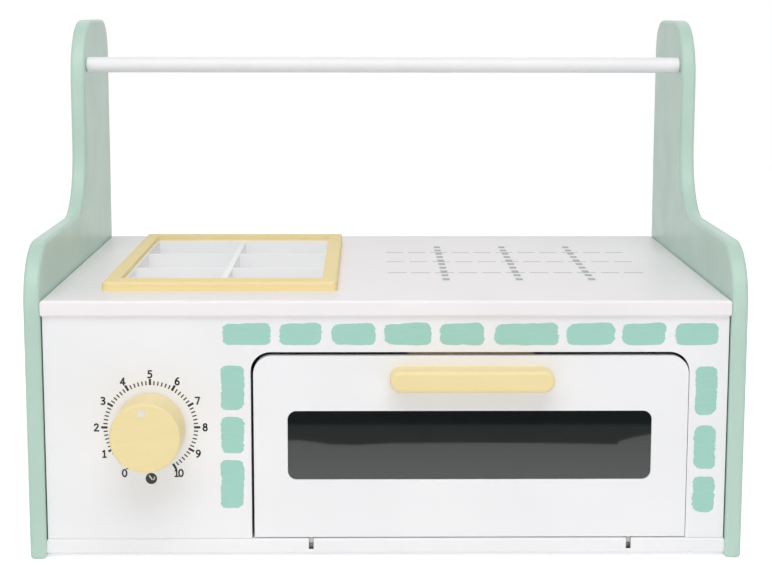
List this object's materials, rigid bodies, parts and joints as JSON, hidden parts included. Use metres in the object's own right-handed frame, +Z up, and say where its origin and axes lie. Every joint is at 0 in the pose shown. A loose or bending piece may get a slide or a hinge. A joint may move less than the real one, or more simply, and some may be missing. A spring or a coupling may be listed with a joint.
{
  "type": "toy oven",
  "caption": "Table-top toy oven with a drop-down windowed door, a turning knob, a printed hob, a lift-out divided tray and a hanging rail between two columns.",
  "frame": {"origin": "on the ground, under the middle of the bounding box", "axes": "+X to the right seen from the front, +Y to the back, +Z up"},
  "size_m": [0.524, 0.406, 0.391],
  "materials": {
    "mint_paint": "12 mm board with satin pale mint green paint",
    "white_paint": "board with satin white paint",
    "yellow_paint": "solid wood with satin pale yellow paint",
    "bare_wood": "bare planed softwood",
    "tinted_acrylic": "dark tinted acrylic, polished",
    "zinc": "zinc-plated steel",
    "steel": "nickel-plated steel",
    "nylon": "natural nylon"
  },
  "bodies": {
    "cabinet": {"side_panel_left": "mint_paint", "side_panel_right": "mint_paint", "worktop": "white_paint", "base_board": "white_paint", "front_panel": "white_paint", "back_panel": "white_paint", "rail": "white_paint", "rail_screws": "zinc", "side_screws": "zinc", "panel_dowels": "bare_wood", "back_screws": "zinc", "door_stop_block": "bare_wood", "stop_screws": "zinc", "catch_magnet": "steel", "hinge_base_barrels": "steel", "hinge_pins": "steel", "knob_washer": "zinc", "knob_spacer": "nylon"},
    "door": {"hinge_door_barrels": "steel", "door_panel": "white_paint", "door_window": "tinted_acrylic", "door_handle": "yellow_paint", "handle_screws": "zinc", "strike_disc": "steel", "strike_screw": "zinc"},
    "knob": {"knob": "yellow_paint", "knob_marker": "white_paint", "knob_insert": "zinc", "knob_bolt": "steel"},
    "tray": {"tray_rim": "yellow_paint", "tray_side_walls": "white_paint", "tray_end_walls": "white_paint", "tray_bottom": "white_paint", "tray_long_divider": "white_paint", "tray_cross_dividers": "white_paint"}
  },
  "joints": [
    {"name": "door_hinge", "type": "hinge", "parent": "cabinet", "child": "door", "pos_m": [0.06175, -0.165, 0.0121], "axis": [1, 0, 0], "range_deg": [0, 84]},
    {"name": "knob_turn", "type": "hinge", "parent": "cabinet", "child": "knob", "pos_m": [-0.1723, -0.185, 0.0989], "axis": [0, -1, 0], "continuous": true},
    {"name": "tray_lift", "type": "slide", "parent": "cabinet", "child": "tray", "axis": [0, 0, 1], "range_m": [0, 0.06]}
  ]
}
